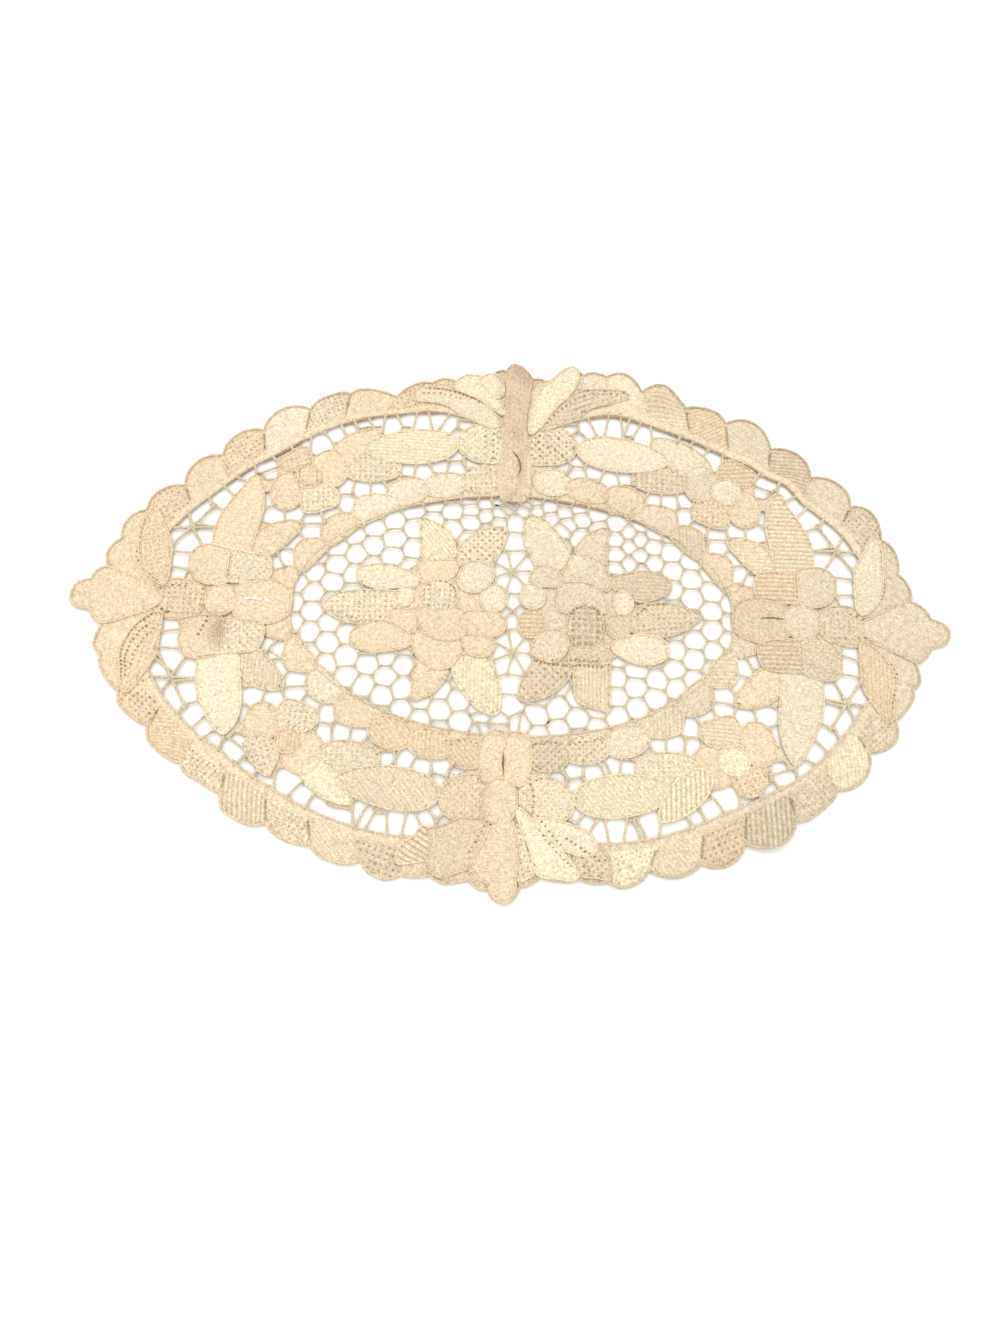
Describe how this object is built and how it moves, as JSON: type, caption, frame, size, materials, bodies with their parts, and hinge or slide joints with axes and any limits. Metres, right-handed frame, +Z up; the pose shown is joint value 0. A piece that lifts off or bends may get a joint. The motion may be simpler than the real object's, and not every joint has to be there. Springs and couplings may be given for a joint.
{
  "type": "lace doily",
  "caption": "Oval needle-lace doily with pointed ends, a scalloped edge, leaves and flowers on a net ground, lying flat.",
  "frame": {"origin": "middle of the mat's footprint, on the face it rests on", "axes": "+X along the mat's length, +Y across it towards the crease, +Z up off the table"},
  "size_m": [0.28, 0.18, 0.0061],
  "materials": {
    "lace": "matt ecru cotton thread"
  },
  "bodies": {
    "root": {"lace": "lace"}
  },
  "joints": []
}
